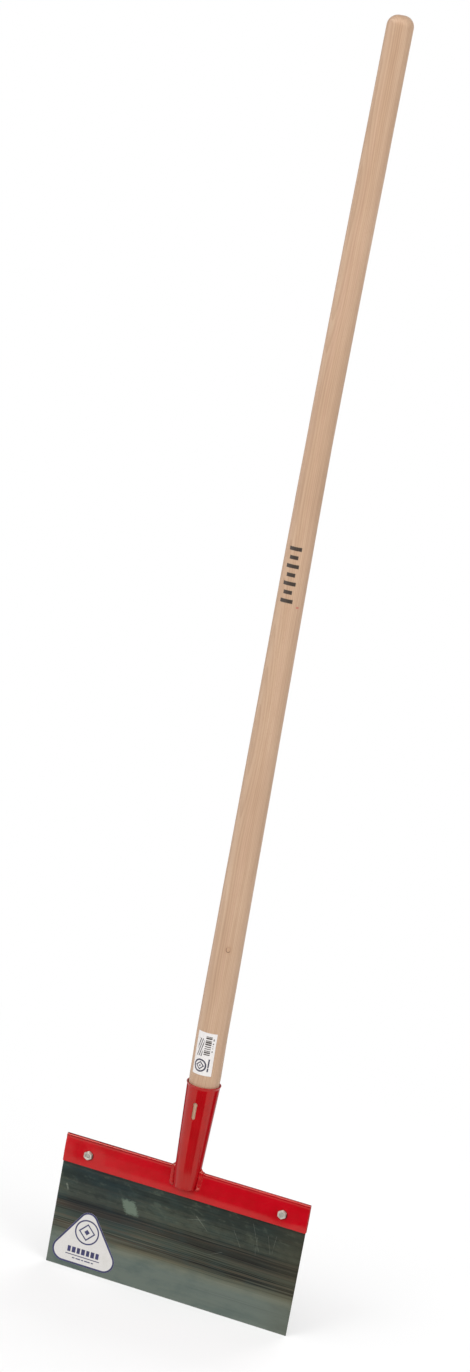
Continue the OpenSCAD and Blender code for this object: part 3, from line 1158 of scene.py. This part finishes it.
def build_bolt(side, material):
    """A bolt with a domed hexagon head at the rear and a rolled thread."""
    low, high = BOLTS[side]
    seat = HOLDER_HALF_T

    def thread(y):
        """One ring of the thread, whose crest goes once round the shank in each pitch."""
        start = smooth(low.y, low.y + 0.6 * MM, y)
        fade = min(start, 1 - smooth(seat - 2.5 * MM, seat - 1.5 * MM, y))
        core = BOLT_R - 0.02 * MM - 0.3 * MM * (1 - smooth(low.y, low.y + 0.5 * MM, y))

        def reach(turn):
            phase = (y / BOLT_PITCH + turn / (2 * math.pi)) % 1
            return core - BOLT_THREAD * abs(2 * phase - 1) * fade

        return circle(reach, -y)

    rings = [
        circle(0.25 * BOLT_R, -low.y - 0.06 * MM), circle(0.7 * BOLT_R, -low.y - 0.02 * MM)
    ]
    rings += [thread(y) for y in spread(low.y, seat - 0.05 * MM, THREAD_STEP)]
    rings.append(circle(BOLT_R, -seat))
    rings += hex_rings((high.z - low.z) / 2, -seat, high.y - seat, 0.8)
    # All this is drawn with the head in front, and turned round here
    centre = Vector(((low.x + high.x) / 2, 0, (low.z + high.z) / 2))
    rings = [[centre + Vector((-p.x, -p.y, p.z)) for p in ring] for ring in rings]
    add_piece("hex_bolt_" + side, from_rings(rings), material, "bolt_" + side, 28)


def build_screw(material):
    """Round-head wood screw with a cross recess, seen at the rear of the socket."""
    tip = SCREW[0].y
    seat = SCREW[1].y - SCREW_HEAD_H
    ball = (SCREW_HEAD_R ** 2 + SCREW_HEAD_H ** 2) / (2 * SCREW_HEAD_H)
    profile = [(0.15 * MM, tip)]
    for y in spread(tip + 1 * MM, seat - 8 * MM, 0.4 * MM):
        point = smooth(tip, tip + 7 * MM, y)
        wave = 0.5 + 0.5 * math.cos(2 * math.pi * (y - tip) / SCREW_PITCH)
        profile.append((max(0.2 * MM, point * (SCREW_R - SCREW_THREAD * wave)), y))
    profile += [(SCREW_R * 0.86, seat - 7 * MM), (SCREW_R * 0.86, seat - 0.1 * MM)]
    profile += [(SCREW_HEAD_R - 0.25 * MM, seat), (SCREW_HEAD_R, seat + 0.2 * MM)]
    for i in range(2, 13):
        up = SCREW_HEAD_H * (1 - (1 - i / 13) ** 1.6)
        profile.append((math.sqrt(max(0, ball ** 2 - (up - SCREW_HEAD_H + ball) ** 2)), seat + up))
    profile.append((0.25 * MM, seat + SCREW_HEAD_H))
    rings = [
        [Vector((p.z, p.y, SCREW_Z + p.x)) for p in circle(radius, y, SCREW_SIDES)]
        for radius, y in profile
    ]
    tools = []
    for wide, tall in ((1.25 * MM, 4.6 * MM), (4.6 * MM, 1.25 * MM)):
        tool = bmesh.new()
        place = Matrix.Translation((0, seat + SCREW_HEAD_H - 0.5 * MM, SCREW_Z))
        size = Matrix.Diagonal((wide, 2 * MM, tall, 1))
        bmesh.ops.create_cube(tool, size=1, matrix=place @ size)
        tools.append(tool)
    mesh = cut(from_rings(rings), tools)
    add_piece("cross_head_screw", mesh, material, "handle_screw", 35)


# ---- stickers
def sticker_outline():
    """(centre, radius, direction) of the rounded triangle's points, round from its lower edge."""
    half = (STICKER[1].x - STICKER[0].x) / 2 - STICKER_R
    corners = [
        (Vector((-half, STICKER[0].z + STICKER_R)), STICKER_R),
        (Vector((half, STICKER[0].z + STICKER_R)), STICKER_R),
        (Vector((0, STICKER[1].z - STICKER_TOP_R)), STICKER_TOP_R),
    ]
    sides = []
    for (here, r0), (there, r1) in zip(corners, corners[1:] + corners[:1]):
        along = there - here
        lean = math.asin((r0 - r1) / along.length)
        turn = math.atan2(along.y, along.x) - math.pi / 2 + lean
        sides.append((here, r0, there, r1, turn))
    points = []
    for (here, r0, there, r1, turn), after in zip(sides, sides[1:] + sides[:1]):
        for t in spread(1 / 12, 11 / 12, 1 / 12):
            points.append((here.lerp(there, t), r0 + (r1 - r0) * t, turn))
        sweep = (after[-1] - turn) % (2 * math.pi)
        points += [(there, r1, turn + sweep * i / 24) for i in range(25)]
    return [(c, r, Vector((math.cos(turn), math.sin(turn)))) for c, r, turn in points]


def build_blade_sticker(material):
    """A thin rounded triangle that follows the blade, with its distance from the rim kept."""
    mesh = bmesh.new()
    rim = mesh.verts.layers.float.new("rim")
    outline = sticker_outline()

    def point(flat, inset, lift):
        x = STICKER_X + flat.x
        made = mesh.verts.new((x, blade_wave(x, flat.y) - BLADE_HALF_T - lift, flat.y))
        made[rim] = inset
        return made

    # (inset in mm, lift) of the rings, from the underside round the edge to the top
    under = -0.01 * MM
    steps = [(0.06, under), (0.0, 0.3 * STICKER_T), (0.06, 0.93 * STICKER_T)]
    steps += [(inset, STICKER_T) for inset in (0.4, 1.0, 1.6, 2.4, 5, 8, 11)]
    rows = [
        [point(c + n * (r - inset * MM), inset, lift) for c, r, n in outline]
        for inset, lift in steps
    ]
    skin(mesh, rows)
    centre = Vector((0, STICKER[0].z + 30 * MM))
    for row, lift in ((rows[-1], STICKER_T), (rows[0], under)):
        hub = point(centre, 11, lift)
        for i in range(len(row)):
            mesh.faces.new((row[i - 1], row[i], hub))
    add_piece("blade_sticker_film", mesh, material, "blade_sticker", 60)


def build_label(material):
    """A paper label wrapped on the handle, with one corner that has lifted a little."""
    top = LABEL[1].z
    mesh = bmesh.new()

    def line(z, lift):
        """Points across the label at height z, from left to right."""
        points = []
        for i in range(LABEL_COLUMNS + 1):
            share = i / LABEL_COLUMNS
            turn = LABEL_W / HANDLE_R * (share - 0.5)
            corner = smooth(0.6, 1.0, share) * smooth(top - 8 * MM, top, z)
            reach = HANDLE_R + 0.03 * MM * (1 + corner) + lift
            points.append(mesh.verts.new(
                (reach * math.sin(turn) + handle_shift(z), -reach * math.cos(turn), z)
            ))
        return points

    rows = []
    for z in spread(LABEL[0].z, top, 2 * MM):
        rows.append(line(z, LABEL_T) + line(z, -0.05 * MM)[::-1])
    skin(mesh, rows)
    for row in (rows[0], rows[-1]):
        for i in range(LABEL_COLUMNS):
            mesh.faces.new((row[i], row[i + 1], row[-2 - i], row[-1 - i]))
    add_piece("paper_label", mesh, material, "handle_label", 60)


# ---- stage
def build_floor():
    mesh = bmesh.new()
    bmesh.ops.create_circle(mesh, cap_ends=True, segments=96, radius=FLOOR_R)
    floor = new_object("floor", mesh)
    floor.data.materials.append(floor_material())
    floor.visible_glossy = False


def build_world():
    """A soft studio: big panels left and right, a pale floor below, a dim gap in front."""
    world = bpy.data.worlds.new("studio")
    bpy.context.scene.world = world
    world.use_nodes = True
    w = Nodes(world.node_tree)
    x, y, z = w.axes(w.add("ShaderNodeTexCoord").outputs["Generated"])
    around = w.math("ARCTAN2", x, y * -1) * (180 / math.pi)
    above = w.math("ARCSINE", z) * (180 / math.pi)
    aside = w.math("ABSOLUTE", around)
    left = w.span(around, -19.8, -18.2, 1, 0) * w.span(around, -125, -105)
    right = w.span(around, 49, 54) * w.span(around, 105, 120, 1, 0) * 0.95
    back = w.span(aside, 135, 160) * 0.45
    top = w.span(above, 26, 31) * w.span(above, 62, 70, 1, 0) * w.span(aside, 85, 95, 1, 0) * 1.4
    ground = w.span(above, -27.5, -24.5, 0.95, 0)
    shine = w.any(left, right, back, top, ground)
    # The panel over the front is brighter in reflections, and the camera sees the backdrop
    rays = w.add("ShaderNodeLightPath").outputs
    glint = top * rays["Is Glossy Ray"] * 3.0
    level = (shine + glint) * 0.97 + 0.015
    seen = w.add("ShaderNodeMix", rays["Is Camera Ray"], data_type="FLOAT")
    w.plug(seen.inputs[2], level)
    w.plug(seen.inputs[3], BACKDROP)
    light = w.add("ShaderNodeBackground", (1, 1, 1, 1), seen.outputs[0])
    w.add("ShaderNodeOutputWorld", light.outputs[0])


def build_lamp(name, place, aim, size, power):
    """A large soft lamp that lights the object without showing in its gloss."""
    data = bpy.data.lights.new(name, "AREA")
    data.size = size
    data.energy = power
    lamp = bpy.data.objects.new(name, data)
    lamp.location = place
    lamp.rotation_euler = (Vector(place) - Vector(aim)).to_track_quat("Z", "Y").to_euler()
    lamp.visible_glossy = False
    bpy.context.scene.collection.objects.link(lamp)


def build_camera():
    data = bpy.data.cameras.new("camera")
    data.lens = CAMERA_LENS
    data.sensor_width = CAMERA_SENSOR
    data.clip_end = 100
    camera = bpy.data.objects.new("camera", data)
    bpy.context.scene.collection.objects.link(camera)
    camera.matrix_world = (
        Matrix.Translation(CAMERA_AIM) @ Matrix.Rotation(CAMERA_AZIMUTH, 4, "Z")
        @ Matrix.Rotation(math.pi / 2 - CAMERA_ELEVATION, 4, "X")
        @ Matrix.Rotation(CAMERA_ROLL, 4, "Z") @ Matrix.Translation((0, 0, CAMERA_DISTANCE))
    )
    bpy.context.scene.camera = camera


# ---- the scene
build_camera()
build_world()
build_floor()
build_lamp("key_lamp", (-1.4, -2.8, 2.4), (0, 0, 0.5), 1.6, 40)
build_lamp("fill_lamp", (2.6, -1.8, 1.6), (0, 0, 0.5), 1.8, 38)
build_lamp("rear_lamp", (0.4, 2.8, 2.2), (0, 0, 0.6), 1.8, 40)
bpy.context.scene.view_settings.view_transform = "Standard"

red = red_material("red_paint", 0.0, marks=paint_holder_dirt_and_shade)
# A darker copy of the same red paint: painted shade on the socket
socket_red_shaded = red_material("socket_paint", 1.0)
# A darker copy of the same red paint: painted shade in the welds
weld_red_shaded = red_material("weld_paint", 0.7, 0.8)
zinc = zinc_material("zinc", 0.0)
# A darker copy of the zinc: painted shade on the bolts
bolt_zinc = zinc_material("bolt_zinc", 0.3)
build_handle(wood_material())
build_socket(socket_red_shaded)
build_plate(
    "folded_holder", HOLDER_END, HOLDER_EDGE, 2 * MM, holder_section, red,
    "blade_holder",
)
build_plate(
    "steel_blade", BLADE_END, BLADE_EDGE, 4 * MM, blade_section, blade_material(),
    "blade",
)
build_weld("front_left", -1, -1, 11, weld_red_shaded)
build_weld("front_right", 1, -1, 12, weld_red_shaded)
build_weld("rear_left", -1, 1, 13, weld_red_shaded)
build_weld("rear_right", 1, 1, 14, weld_red_shaded)
for side in ("left", "right"):
    build_nut(side, zinc)
    build_bolt(side, bolt_zinc)
build_screw(zinc)
build_blade_sticker(sticker_material())
build_label(label_material())
